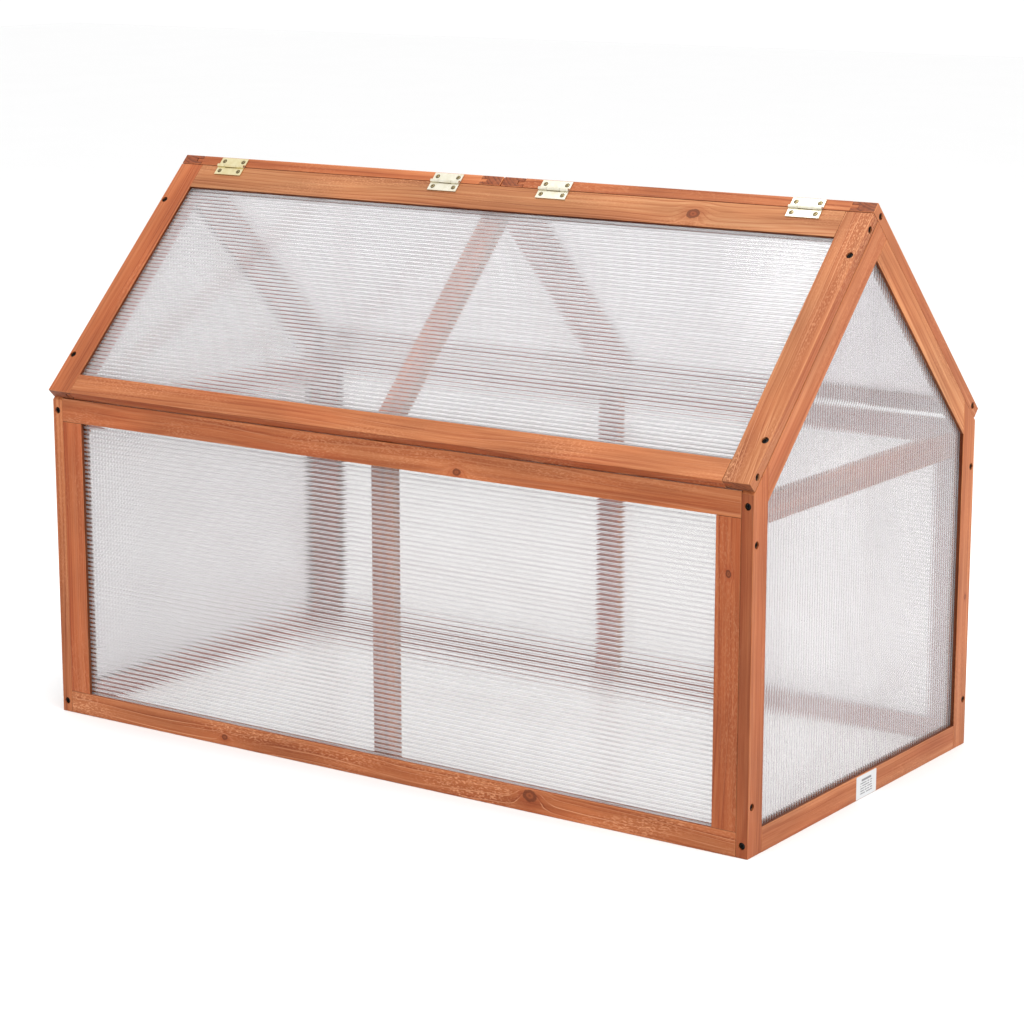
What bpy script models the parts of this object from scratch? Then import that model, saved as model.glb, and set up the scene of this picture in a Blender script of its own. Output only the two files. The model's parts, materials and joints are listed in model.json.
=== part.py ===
"""Cold frame: two gable end frames, two walls, a fixed front roof panel and two rear lids on butt hinges.

X runs along the ridge, the front faces -Y and Z is up from the ground. Each panel is modelled in the frame
of an empty: x along the panel, y up it and z out of it, with the panel's outer face at z = 0.
"""

import math

import bmesh
import bpy
from mathutils import Matrix, Vector

# The whole frame, in metres
LENGTH = 0.900
DEPTH = 0.470
PEAK_HEIGHT = 0.5949
SLOPE = math.radians(45)
GAP = 0.0003

# End frames
END_THICKNESS = 0.0135
END_MEMBER = 0.027
END_RAIL = 0.026
CROSS_BAR_HEIGHT = 0.336

# Walls
WALL_THICKNESS = 0.0135
FRONT_WALL_HEIGHT = 0.3624
REAR_WALL_HEIGHT = 0.3585
WALL_TOP_RAIL = 0.0262
WALL_BOTTOM_RAIL = 0.0248
WALL_STILE = 0.0275

# Roof panels
ROOF_THICKNESS = 0.0125
ROOF_LENGTH = 0.8994
SLOPE_LENGTH = 0.3423
ROOF_SEAM = 0.0008
ROOF_SEAT = 0.0007
ROOF_STILE = 0.031
ROOF_TOP_RAIL = 0.0325
ROOF_BOTTOM_RAIL = 0.0255
ROOF_BAR_CLEARANCE = 0.012
LID_MEMBER = 0.0275
LID_GAP = 0.0015

# Bars that stiffen a panel, screwed to its inner face
BAR_WIDTH = 0.028
BAR_THICKNESS = 0.012
BAR_END = 0.006

# Tongue, groove and pane
GROOVE_DEPTH = 0.008
GROOVE_WIDTH = 0.0048
TONGUE_STEP = 0.0005
PANE_THICKNESS = 0.004
PANE_PLAY = 0.001

# Counterbored screw holes
SCREW_RADIUS = 0.0038
SCREW_RECESS = 0.0035
ROOF_SCREW_INSET = 0.0055
ROOF_SCREWS_DOWN = (0.067, 0.2916)
STILE_SCREW_HEIGHTS = (0.0515, 0.3105)
EDGE_SCREW_HEIGHTS = (0.0125, 0.348)

# Butt hinges
HINGE_LENGTH = 0.038
HINGE_HALF_WIDTH = 0.0120
HINGE_PLACES = (0.071, 0.374)
LEAF_THICKNESS = 0.001
BARREL_RADIUS = 0.0019
PIN_RADIUS = 0.001
PIN_PLAY = 0.0001
PIN_OFFSET = 0.0012
KNUCKLE_SHARE = 0.28
LEAF_SCREW_ALONG = 0.0137
LEAF_SCREW_ACROSS = 0.0069
LEAF_SCREW_RADIUS = 0.0013
LEAF_SINK_RADIUS = 0.0024

ROUND_FACES = 16
MARGIN = 0.01
DIAGONAL = math.sqrt(2)
FRONT, REAR = "front", "rear"

# The roof panels lie a seat's gap above the rafters. The ridge is where the lids' outer faces meet the
# plane of the front roof panel's face.
RIDGE_HEIGHT = PEAK_HEIGHT + (ROOF_SEAT + ROOF_THICKNESS) * DIAGONAL
PIN_HEIGHT = BARREL_RADIUS + GAP


def clear_scene():
    for obj in list(bpy.data.objects):
        bpy.data.objects.remove(obj, do_unlink=True)


def new_collection(name):
    collection = bpy.data.collections.new(name)
    bpy.context.scene.collection.children.link(collection)
    return collection


def new_material(name, colour, roughness, metallic=0.0):
    material = bpy.data.materials.new(name)
    material.use_nodes = True
    shader = material.node_tree.nodes["Principled BSDF"]
    shader.inputs["Base Color"].default_value = (*colour, 1.0)
    shader.inputs["Roughness"].default_value = roughness
    shader.inputs["Metallic"].default_value = metallic
    material.diffuse_color = (*colour, 1.0)
    return material


def new_empty(name, location, rotation, parent=None):
    empty = bpy.data.objects.new(name, None)
    empty.location = location
    empty.rotation_euler = rotation
    empty.empty_display_size = 0.05
    empty.parent = parent
    parts.objects.link(empty)
    return empty


def new_mesh_object(name, shape, parent, location, collection):
    mesh = bpy.data.meshes.new(name)
    shape.to_mesh(mesh)
    shape.free()
    obj = bpy.data.objects.new(name, mesh)
    obj.location = location
    obj.parent = parent
    collection.objects.link(obj)
    return obj


def block(name, low, high, parent, collection):
    """A block between two corners given in its parent's frame, with its origin at its centre."""
    low, high = Vector(low), Vector(high)
    shape = bmesh.new()
    bmesh.ops.create_cube(shape, size=1.0, matrix=Matrix.Diagonal((*(high - low), 1.0)))
    return new_mesh_object(name, shape, parent, (low + high) / 2, collection)


def rod(name, start, end, radii, parent, collection):
    """A cylinder or cone between two points given in its parent's frame."""
    start, end = Vector(start), Vector(end)
    along = end - start
    turn = along.to_track_quat("Z", "Y").to_matrix().to_4x4()
    shape = bmesh.new()
    bmesh.ops.create_cone(
        shape,
        cap_ends=True,
        segments=ROUND_FACES,
        radius1=radii[0],
        radius2=radii[1],
        depth=along.length,
        matrix=turn,
    )
    return new_mesh_object(name, shape, parent, (start + end) / 2, collection)


def slab(name, low, high, parent, material):
    """A block that is one of the object's own pieces."""
    obj = block(name, low, high, parent, parts)
    obj.data.materials.append(material)
    return obj


def saw(obj, point, normal):
    """Cuts off what lies beyond a plane given in the parent's frame."""
    shape = bmesh.new()
    shape.from_mesh(obj.data)
    everything = shape.verts[:] + shape.edges[:] + shape.faces[:]
    cut = bmesh.ops.bisect_plane(
        shape,
        geom=everything,
        plane_co=Vector(point) - obj.location,
        plane_no=Vector(normal),
        clear_outer=True,
    )
    edges = [item for item in cut["geom_cut"] if isinstance(item, bmesh.types.BMEdge)]
    bmesh.ops.contextual_create(shape, geom=edges)
    bmesh.ops.recalc_face_normals(shape, faces=shape.faces)
    shape.to_mesh(obj.data)
    shape.free()


def combine(obj, tool, operation):
    tool.hide_render = True
    tool.display_type = "WIRE"
    modifier = obj.modifiers.new(operation.lower(), "BOOLEAN")
    modifier.operation = operation
    modifier.solver = "EXACT"
    modifier.object = tool


def cut_block(obj, low, high, purpose):
    combine(obj, block(f"{obj.name}_{purpose}", low, high, obj.parent, cutters), "DIFFERENCE")


def add_block(obj, low, high, purpose):
    combine(obj, block(f"{obj.name}_{purpose}", low, high, obj.parent, cutters), "UNION")


def drill(obj, point, direction, depth=SCREW_RECESS, radii=(SCREW_RADIUS, SCREW_RADIUS)):
    """A hole into the face at a point of the parent's frame; it starts just outside the face."""
    point, direction = Vector(point), Vector(direction)
    start = point - direction * GAP
    cutter = rod(f"{obj.name}_hole", start, point + direction * depth, radii, obj.parent, cutters)
    combine(obj, cutter, "DIFFERENCE")


def groove_band(face, thickness):
    """The lowest and highest z of a groove in a member whose outer face is at the given z."""
    centre = face - thickness / 2
    return centre - GROOVE_WIDTH / 2, centre + GROOVE_WIDTH / 2


def spanned(axis, along, across, depth):
    """Two corners of a block, from its spans along the axis, across it and through the panel."""
    spans = (along, across, depth) if axis == "x" else (across, along, depth)
    return [min(span) for span in spans], [max(span) for span in spans]


def member(name, parent, axis, along, across, face, thickness, tongues=(False, False)):
    """A frame member, with a groove in its inner edge and a tongue at the chosen ends.

    axis says whether it runs along x or y, along is its span on that axis, and across is its span over its
    width as (outer edge, inner edge). The groove follows the inner edge.
    """
    outer, inner = across
    inward = math.copysign(1.0, inner - outer)
    low, high = spanned(axis, along, across, (face - thickness, face))
    obj = slab(name, low, high, parent, wood)
    bottom, top = groove_band(face, thickness)
    reach = GROOVE_DEPTH - GAP
    tongue_across = (outer + inward * TONGUE_STEP, inner - inward * (GROOVE_DEPTH + GAP))
    for end, outward, wanted in ((along[0], -1, tongues[0]), (along[1], 1, tongues[1])):
        if wanted:
            tongue_along = (end - outward * GROOVE_DEPTH, end + outward * reach)
            add_block(obj, *spanned(axis, tongue_along, tongue_across, (bottom + GAP, top - GAP)), "tongue")
    groove_along = (along[0] - MARGIN, along[1] + MARGIN)
    groove_across = (inner - inward * GROOVE_DEPTH, inner + inward * MARGIN)
    cut_block(obj, *spanned(axis, groove_along, groove_across, (bottom, top)), "groove")
    return obj


def pane_span(low, high, low_member, high_member):
    """The span of a pane whose edges stand in the grooves of the members at both ends."""
    lap = GROOVE_DEPTH - PANE_PLAY
    return low + low_member - lap, high - high_member + lap


def pane(name, parent, across, up, face, thickness):
    middle = face - thickness / 2
    low = (across[0], up[0], middle - PANE_THICKNESS / 2)
    high = (across[1], up[1], middle + PANE_THICKNESS / 2)
    return slab(name, low, high, parent, polycarbonate)


def framed_panel(name, parent, across, up, face, thickness, stile, top, bottom, rails_run_through):
    """A rectangular panel: two rails, two stiles and the pane in their grooves."""
    left, right = across
    low, high = up
    rail_ends = (left, right)
    stile_ends = (low, high)
    rail_tongues = stile_tongues = (False, False)
    if rails_run_through:
        stile_ends = (low + bottom + GAP, high - top - GAP)
        stile_tongues = (True, True)
    else:
        rail_ends = (left + stile + GAP, right - stile - GAP)
        rail_tongues = (True, True)
    layers = (face, thickness)
    members = {
        "bottom_rail": ("x", rail_ends, (low, low + bottom), *layers, rail_tongues),
        "top_rail": ("x", rail_ends, (high, high - top), *layers, rail_tongues),
        "left_stile": ("y", stile_ends, (left, left + stile), *layers, stile_tongues),
        "right_stile": ("y", stile_ends, (right, right - stile), *layers, stile_tongues),
    }
    made = {key: member(f"{name}_{key}", parent, *values) for key, values in members.items()}
    across = pane_span(left, right, stile, stile)
    up = pane_span(low, high, bottom, top)
    pane(f"{name}_pane", parent, across, up, *layers)
    return made


def middle_bar(name, parent, up, thickness):
    """An upright bar on the inner face of a panel, halfway along it."""
    back = -thickness - GAP
    low = (-BAR_WIDTH / 2, up[0], back - BAR_THICKNESS)
    return slab(name, low, (BAR_WIDTH / 2, up[1], back), parent, wood)


def make_wall(name, y, turn, height):
    parent = new_empty(f"{name}_frame", (0, y, 0), (math.pi / 2, 0, turn))
    half = LENGTH / 2 - END_THICKNESS - GAP
    sizes = (0.0, WALL_THICKNESS, WALL_STILE, WALL_TOP_RAIL, WALL_BOTTOM_RAIL)
    framed_panel(name, parent, (-half, half), (0.0, height), *sizes, rails_run_through=True)
    middle_bar(f"{name}_middle_bar", parent, (BAR_END, height - BAR_END), WALL_THICKNESS)


def make_end_stile(name, parent, side):
    """side is the sign of x on which the stile stands."""
    half = DEPTH / 2
    top = PEAK_HEIGHT - (half - END_MEMBER)
    across = (side * half, side * (half - END_MEMBER))
    obj = member(name, parent, "y", (0.0, top), across, 0.0, END_THICKNESS)
    saw(obj, (0, PEAK_HEIGHT, 0), (side, 1, 0))
    screw_x = side * (half - WALL_THICKNESS / 2)
    for height in STILE_SCREW_HEIGHTS:
        drill(obj, (screw_x, height, 0), (0, 0, -1))
    for height in EDGE_SCREW_HEIGHTS:
        drill(obj, (side * half, height, -END_THICKNESS / 2), (-side, 0, 0))


def make_rafter(name, parent, side, start, tongue):
    """A rafter in the frame of its slope: y = 0 is its outer edge, and side * x runs down from the peak."""
    slope = new_empty(f"{name}_slope", (0, PEAK_HEIGHT, 0), (0, 0, -side * SLOPE), parent)
    foot = (DEPTH / 2 - END_MEMBER - GAP) * DIAGONAL
    along = sorted((side * start, side * (foot + END_MEMBER)))
    tongues = (tongue and side > 0, tongue and side < 0)
    obj = member(name, slope, "x", along, (0.0, -END_MEMBER), 0.0, END_THICKNESS, tongues)
    saw(obj, (side * foot, 0, 0), (side, 1, 0))


def make_end_pane(name, parent):
    half = DEPTH / 2
    across = pane_span(-half, half, END_MEMBER, END_MEMBER)
    lap = GROOVE_DEPTH - PANE_PLAY
    obj = pane(name, parent, across, (END_RAIL - lap, PEAK_HEIGHT), 0.0, END_THICKNESS)
    apex = PEAK_HEIGHT - (END_MEMBER - lap) * DIAGONAL
    for side in (-1, 1):
        saw(obj, (0, apex, 0), (side, 1, 0))


def make_end_frame(name, x, turn, front_side):
    parent = new_empty(f"{name}_frame", (x, 0, 0), (math.pi / 2, 0, turn))
    for label, side in ((FRONT, front_side), (REAR, -front_side)):
        make_end_stile(f"{name}_{label}_stile", parent, side)
    # The front rafter runs to the peak, and the rear one meets it with a tongue.
    make_rafter(f"{name}_front_rafter", parent, front_side, 0.0, False)
    make_rafter(f"{name}_rear_rafter", parent, -front_side, END_MEMBER + GAP, True)
    inside = DEPTH / 2 - END_MEMBER - GAP
    across = (0.0, END_RAIL)
    layers = (0.0, END_THICKNESS)
    member(f"{name}_bottom_rail", parent, "x", (-inside, inside), across, *layers, (True, True))
    make_end_pane(f"{name}_pane", parent)
    bar_half = DEPTH / 2 - WALL_THICKNESS - GAP
    back = -END_THICKNESS - GAP
    low = (-bar_half, CROSS_BAR_HEIGHT - BAR_WIDTH / 2, back - BAR_THICKNESS)
    high = (bar_half, CROSS_BAR_HEIGHT + BAR_WIDTH / 2, back)
    slab(f"{name}_cross_bar", low, high, parent, wood)


def drill_edge(stile, edge, heights, side, middle):
    """Screw holes through a stile's outer edge into the ends of the rails."""
    for height in heights:
        drill(stile, (edge, height, middle), (-side, 0, 0))


def make_front_roof():
    """The fixed panel, in a frame whose origin is on the ridge and whose y runs up the slope."""
    name = "front_roof"
    parent = new_empty(f"{name}_frame", (0, 0, RIDGE_HEIGHT), (SLOPE, 0, 0))
    half = ROOF_LENGTH / 2
    up = (-SLOPE_LENGTH, -ROOF_THICKNESS - ROOF_SEAM)
    sizes = (0.0, ROOF_THICKNESS, ROOF_STILE, ROOF_TOP_RAIL, ROOF_BOTTOM_RAIL)
    made = framed_panel(name, parent, (-half, half), up, *sizes, rails_run_through=False)
    # The bar stops short of the lids above and of the wall below.
    bar_ends = (up[0] + ROOF_BAR_CLEARANCE, up[1] - ROOF_BAR_CLEARANCE)
    middle_bar(f"{name}_middle_bar", parent, bar_ends, ROOF_THICKNESS)
    rail_middles = (up[0] + ROOF_BOTTOM_RAIL / 2, up[1] - ROOF_TOP_RAIL / 2)
    for side, key in ((-1, "left_stile"), (1, "right_stile")):
        for down in ROOF_SCREWS_DOWN:
            drill(made[key], (side * (half - ROOF_SCREW_INSET), -down, 0), (0, 0, -1))
        drill_edge(made[key], side * half, rail_middles, side, -ROOF_THICKNESS / 2)


def pin_line():
    """The y and z of the hinge pins: above the front roof panel's face, and just below the seam."""
    up_slope = -ROOF_THICKNESS - PIN_OFFSET
    y = up_slope * math.cos(SLOPE) - PIN_HEIGHT * math.sin(SLOPE)
    z = RIDGE_HEIGHT + up_slope * math.sin(SLOPE) + PIN_HEIGHT * math.cos(SLOPE)
    return y, z


def make_lid(name, side):
    """A lid that turns about an empty on the pins' axis; side is the sign of x on which it lies."""
    length = (ROOF_LENGTH - LID_GAP) / 2
    centre = side * (length + LID_GAP) / 2
    axis = new_empty(f"{name}_axis", (centre, *pin_line()), (SLOPE, 0, math.pi))
    face = ROOF_THICKNESS + PIN_OFFSET
    top = -PIN_HEIGHT
    up = (top - SLOPE_LENGTH, top)
    sizes = (face, ROOF_THICKNESS, LID_MEMBER, LID_MEMBER, LID_MEMBER)
    across = (-length / 2, length / 2)
    made = framed_panel(name, axis, across, up, *sizes, rails_run_through=False)
    rail_middles = (up[0] + LID_MEMBER / 2, up[1] - LID_MEMBER / 2)
    for edge_side, key in ((-1, "left_stile"), (1, "right_stile")):
        middle = face - ROOF_THICKNESS / 2
        drill_edge(made[key], edge_side * length / 2, rail_middles, edge_side, middle)
    return axis


def knuckle_spans(outer):
    """The spans of a leaf's knuckles along the pin: the two outer ones, or the middle one."""
    half = HINGE_LENGTH / 2
    share = HINGE_LENGTH * KNUCKLE_SHARE
    inner_half = half - share
    if outer:
        return [(-half, -inner_half - GAP / 2), (inner_half + GAP / 2, half)]
    return [(-inner_half + GAP / 2, inner_half - GAP / 2)]


def make_leaf(name, parent, x, side, outer):
    """A hinge leaf about the pin, with x along the pin; side is the sign of y on which its plate lies."""
    half = HINGE_LENGTH / 2
    bottom = -BARREL_RADIUS
    across = sorted((side * PIN_RADIUS, side * HINGE_HALF_WIDTH))
    low = (x - half, across[0], bottom)
    leaf = slab(name, low, (x + half, across[1], bottom + LEAF_THICKNESS), parent, brass)
    clear = sorted((0.0, side * (BARREL_RADIUS + GAP)))
    for start, end in knuckle_spans(not outer):
        notch_low = (x + start - GAP, clear[0], bottom - GAP)
        cut_block(leaf, notch_low, (x + end + GAP, clear[1], 0.0), "notch")
    for start, end in knuckle_spans(outer):
        radii = (BARREL_RADIUS, BARREL_RADIUS)
        knuckle = rod(f"{name}_knuckle", (x + start, 0, 0), (x + end, 0, 0), radii, parent, cutters)
        combine(leaf, knuckle, "UNION")
    bore_radii = (PIN_RADIUS + PIN_PLAY, PIN_RADIUS + PIN_PLAY)
    bore = rod(f"{name}_bore", (x - half - GAP, 0, 0), (x + half + GAP, 0, 0), bore_radii, parent, cutters)
    combine(leaf, bore, "DIFFERENCE")
    for along in (-LEAF_SCREW_ALONG, LEAF_SCREW_ALONG):
        point = (x + along, side * LEAF_SCREW_ACROSS, bottom + LEAF_THICKNESS)
        drill(leaf, point, (0, 0, -1), LEAF_THICKNESS + GAP, (LEAF_SINK_RADIUS, LEAF_SCREW_RADIUS))
    round_off(leaf)


def round_off(obj):
    obj.data.shade_smooth()
    obj.data.set_sharp_from_angle(angle=math.radians(30))


def make_hinge(number, x, lid_axis):
    """A hinge with its fixed leaf on the front roof panel and its other leaf on a lid's top edge."""
    name = f"hinge_{number}"
    pins = new_empty(f"{name}_axis", (0, *pin_line()), (SLOPE, 0, 0))
    make_leaf(f"{name}_fixed_leaf", pins, x, -1, True)
    # On the lid's axis, which is turned half round, the lid's top edge faces +y and lies below z = 0.
    place = (lid_axis.location.x - x, 0, 0)
    moving = new_empty(f"{name}_leaf_axis", place, (math.pi / 2, 0, math.pi), lid_axis)
    make_leaf(f"{name}_moving_leaf", moving, 0.0, 1, False)
    half = HINGE_LENGTH / 2 - GAP
    radii = (PIN_RADIUS, PIN_RADIUS)
    pin = rod(f"{name}_pin", (x - half, 0, 0), (x + half, 0, 0), radii, pins, parts)
    pin.data.materials.append(steel)
    round_off(pin)


def make_cold_frame():
    make_end_frame("left_end", -LENGTH / 2, -math.pi / 2, 1)
    make_end_frame("right_end", LENGTH / 2, math.pi / 2, -1)
    make_wall("front_wall", -DEPTH / 2, 0.0, FRONT_WALL_HEIGHT)
    make_wall("rear_wall", DEPTH / 2, math.pi, REAR_WALL_HEIGHT)
    make_front_roof()
    lids = {-1: make_lid("left_lid", -1), 1: make_lid("right_lid", 1)}
    places = sorted(side * place for side in (-1, 1) for place in HINGE_PLACES)
    for number, x in enumerate(places, start=1):
        make_hinge(number, x, lids[1 if x > 0 else -1])


clear_scene()
parts = new_collection("cold_frame")
cutters = new_collection("cutters")
wood = new_material("stained_fir", (0.60, 0.22, 0.09), 0.55)
polycarbonate = new_material("twin_wall_polycarbonate", (0.86, 0.86, 0.88), 0.25)
brass = new_material("pale_brass", (0.85, 0.76, 0.48), 0.3, 1.0)
steel = new_material("steel", (0.6, 0.6, 0.6), 0.35, 1.0)
make_cold_frame()
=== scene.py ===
"""Looks of the cold frame: stained fir boards, twin-wall sheets, brass hinges, screws and a label."""

import json
import math
import random

import bmesh
import bpy
from mathutils import Matrix, Vector


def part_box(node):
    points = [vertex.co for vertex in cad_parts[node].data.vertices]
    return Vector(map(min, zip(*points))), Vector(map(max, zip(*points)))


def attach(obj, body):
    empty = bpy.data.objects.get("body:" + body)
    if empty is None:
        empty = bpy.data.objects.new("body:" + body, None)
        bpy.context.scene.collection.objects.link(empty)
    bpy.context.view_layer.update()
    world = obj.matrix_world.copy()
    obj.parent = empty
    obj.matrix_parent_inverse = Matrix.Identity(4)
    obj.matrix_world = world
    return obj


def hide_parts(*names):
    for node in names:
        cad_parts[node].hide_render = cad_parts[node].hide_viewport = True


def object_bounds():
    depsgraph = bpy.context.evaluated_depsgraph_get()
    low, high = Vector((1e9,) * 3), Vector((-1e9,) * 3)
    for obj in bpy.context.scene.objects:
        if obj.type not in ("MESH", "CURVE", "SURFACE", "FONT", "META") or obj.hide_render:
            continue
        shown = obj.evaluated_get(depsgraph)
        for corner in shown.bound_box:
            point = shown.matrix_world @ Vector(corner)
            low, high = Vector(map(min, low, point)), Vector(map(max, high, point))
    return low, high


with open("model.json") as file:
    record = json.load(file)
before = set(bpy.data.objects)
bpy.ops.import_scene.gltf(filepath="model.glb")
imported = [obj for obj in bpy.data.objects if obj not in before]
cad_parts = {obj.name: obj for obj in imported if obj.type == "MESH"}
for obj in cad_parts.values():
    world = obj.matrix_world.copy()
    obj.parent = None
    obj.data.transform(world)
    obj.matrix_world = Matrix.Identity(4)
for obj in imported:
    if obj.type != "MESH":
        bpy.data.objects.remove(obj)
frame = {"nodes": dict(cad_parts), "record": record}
cad_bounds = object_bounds()
nodes = frame["nodes"]
scene = bpy.context.scene

X, Y, Z = Vector((1, 0, 0)), Vector((0, 1, 0)), Vector((0, 0, 1))
SLOPE = math.radians(45)
FLAT_ANGLE = math.radians(1)

# The range of a normal's dot product over which a face counts as turned that way
FACING = (0.85, 0.95)

# The parts of a unit direction that count as none of it and as all of it
SLIGHT, FULL = 0.1, 0.99

# Places within this distance are one place, and a box has to be this much smaller to be the better one
CLOSE = 1e-6
CLEARLY_LESS = 0.98

# Boards
ARRIS = 0.0006
ARRIS_LENGTH = 0.012
ARRIS_ANGLE = math.radians(30)
GRAIN_SEED = 7
PITH_DISTANCE = 0.055
RING_PITCH = 0.0046
RING_WANDER = 0.030
RING_RIPPLE = 0.0022
RING_CELLS = (150.0, 0.0, 0.0)
RING_UNEVEN = 2.2
KNOT_BEND = 2.2
KNOT_SHAPE = (0.75, 1.0, 0.0)
KNOT_FALLOFF = 0.16
NO_KNOT = (9.0, 0.0, 0.001)

# Colours of the stained fir, linear
FIR_RAMP = [
    (0.12, (0.500, 0.198, 0.083)),
    (0.36, (0.390, 0.124, 0.043)),
    (0.60, (0.280, 0.071, 0.021)),
    (0.95, (0.150, 0.031, 0.010)),
]
RAISED_GRAIN = (0.66, 0.300, 0.150)
KNOT_HEART = ((0.16, 0.040, 0.012), (0.32, 0.090, 0.028))
KNOT_RIM = (0.110, 0.027, 0.007)
END_GRAIN = ((0.22, 0.055, 0.019), (0.075, 0.017, 0.008))
WORN_WOOD = (0.52, 0.20, 0.080)
# Painted shade: a cooler, darker tint for the faces of the boards turned to the inside of the frame
INDOOR_SHADE_TINT = (0.78, 0.74, 1.45)

# Knots as (along, across, radius), in metres from a board's centre
KNOTS = {
    "front_wall_bottom_rail": ((0.195, 0.0050, 0.0054), (-0.2096, -0.003, 0.0026)),
    "front_wall_top_rail": ((0.1050, -0.0075, 0.0032),),
    "front_wall_right_stile": ((0.1, 0.001, 0.0026),),
    "front_roof_top_rail": ((0.2497, -0.001, 0.0050),),
    "right_end_rear_stile": ((-0.026, 0.003, 0.0018),),
    "rear_wall_top_rail": ((-0.21, 0.002, 0.0036),),
    "rear_wall_bottom_rail": ((0.11, -0.003, 0.0030),),
    "left_end_front_stile": ((0.06, 0.002, 0.0026),),
    "left_lid_bottom_rail": ((0.05, 0.003, 0.0032),),
    "right_lid_left_stile": ((-0.07, -0.002, 0.0028),),
}

# How a board takes the stain, and the painted shade on its sides. The side tone and redness are for its
# narrow sides; their darkening is partly stain and partly painted shade, for narrow sides turned down or to
# the front. The tone for the side with the groove is painted shade, darker and redder.
PLAIN_STAIN_AND_SHADE = {
    "tone": 1.0, "redness": 0.2, "rings": 0.4, "ridges": 0.25,
    "side_stain_and_shade": 0.9, "side_redness": 0.2, "groove_shade_tone": 0.42,
}
STAINS_AND_SHADES = {
    "front_roof_right_stile": {"tone": 0.86, "redness": -0.45, "rings": 0.45, "ridges": 1.0},
    "front_roof_top_rail": {"tone": 0.86, "redness": -0.8, "rings": 0.6, "ridges": 0.6},
    # Its narrow side, turned down to the front, is darker and redder: painted shade
    "front_roof_bottom_rail": {
        "tone": 0.96, "redness": -0.2, "rings": 0.4, "ridges": 0.5, "side_stain_and_shade": 0.85, "side_redness": 0.8,
    },
    "front_roof_left_stile": {"tone": 0.90, "redness": 0.4, "rings": 0.4},
    "front_wall_top_rail": {"tone": 0.97, "redness": 0.3, "rings": 0.4, "ridges": 0.4},
    "front_wall_right_stile": {"tone": 0.80, "redness": 0.9, "rings": 0.6},
    "front_wall_left_stile": {"tone": 0.97, "redness": 0.9, "rings": 0.5},
    "front_wall_bottom_rail": {
        "tone": 0.98, "redness": 0.3, "rings": 0.5, "ridges": 1.0, "groove_shade_tone": 0.9,
    },
    # Its narrow side, turned to the front, is darker: painted shade
    "right_end_front_stile": {
        "tone": 0.87, "redness": 0.3, "rings": 0.6, "side_stain_and_shade": 0.68, "side_redness": 0.9,
    },
    "right_end_front_rafter": {"tone": 0.90, "redness": 0.2, "rings": 0.4},
    "right_end_rear_rafter": {"tone": 1.15, "redness": -0.8, "rings": 0.45},
    "right_end_rear_stile": {"tone": 1.0, "redness": 0.0, "rings": 0.5},
    "right_end_bottom_rail": {"tone": 0.96, "redness": 0.0, "rings": 0.4},
    "front_wall_middle_bar": {"tone": 0.82, "redness": 0.8, "rings": 0.5},
    "front_roof_middle_bar": {"tone": 0.82, "redness": 0.7, "rings": 0.5},
    "right_end_cross_bar": {"tone": 0.85, "redness": 0.7, "rings": 0.5},
}

# Twin-wall sheet
FLUTE_PITCH = 0.0050
SKIN = 0.0006
RIB = 0.0006
# Painted shade: the colour of the dark lines over the ribs, standing in for the ribs' shade seen through the
# skin
RIB_SHADE_COLOUR = (0.30, 0.26, 0.30)
SHEET_IOR = 1.37
CLEAR_RIB_IOR = 1.30
LIGHT_PASSED = (0.92, 0.92, 0.92, 1.0)
PANE_LAP = 0.007
CROWN = 0.00012
CROWN_STEPS = 4
FILLET = 0.0005
FILLET_STEPS = 2
SHEET_SHARP = math.radians(7)

# A dark ring round a screw head, between two shares of its radius
DARK_RING_COLOUR = (0.030, 0.022, 0.010)
DARK_RING_BAND = (0.64, 0.80)

# Screws: the head's radius, how far it is domed, and how far its neck reaches down
WOOD_SCREW_RADIUS = 0.0033
WOOD_SCREW_DOME = 0.0006
WOOD_SCREW_LENGTH = 0.0018
HINGE_SCREW_RADIUS = 0.0027
HINGE_SCREW_DOME = 0.0005
HINGE_SCREW_LENGTH = 0.0022
DOME_STEPS = 6
# Shares of the radius: places under the head as (radius, depth), then the cross's reach, half width and depth
HEAD_UNDERSIDE = ((0.98, 0.2), (0.5, 0.7))
CROSS_SHARES = (0.62, 0.13, 0.55)
SCREW_SEGMENTS = 32
SMOOTH_ANGLE = math.radians(35)
RECESS_SIDES = 16
RECESS_AREA = (3e-5, 6e-5)

# Hinge leaves: where their screws sit
HINGE_SCREW_INSET = 0.0051
HINGE_SCREW_ALONG = 0.0137
LEAF_THICKNESS = 0.001

# Label on the right end's bottom rail
LABEL_SIZE = (0.0432, 0.0246)
LABEL_CENTRE_Y = 0.007
LABEL_THICKNESS = 0.00018
LABEL_CORNER = 0.0012
LABEL_CORNER_STEPS = 4
LABEL_LIFT = 0.0005
LABEL_PRINTED = (0.30, 0.38)
LABEL_ROW = 0.0027
LABEL_STROKE = 0.42
# The noise that breaks a row into words: its cells per metre along the row and from row to row, and its cut
LABEL_WORD_CELLS = (350.0, 9.0, 0.0)
LABEL_WORD_GAP = 0.44
LABEL_ROWS_TOP = 0.0048
LABEL_HEADING = 0.0066
LABEL_HEADING_HALF = 0.0012
LABEL_HEADING_SHARE = 0.24
LABEL_INK = 0.85
LABEL_PAPER = (0.52, 0.525, 0.53)
LABEL_PALE_PAPER = (0.58, 0.585, 0.59)
LABEL_INK_COLOUR = (0.10, 0.10, 0.11)

# Stage
FLOOR_HALF = 12.0
FLOOR_DROP = 0.0002
SKY_STRENGTH = 1.08
LAMP_AIM = (0, 0, 0.3)
OVERHEAD_WATTS = 44
RIGHT_WATTS = 36
CAMERA_AZIMUTH = math.radians(34.845)
CAMERA_ELEVATION = math.radians(12.377)
CAMERA_DISTANCE = 3.142
CAMERA_AIM = Vector((0.01175, -0.00324, 0.2473))
CAMERA_LENS = 100.684


# Node graphs

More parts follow.
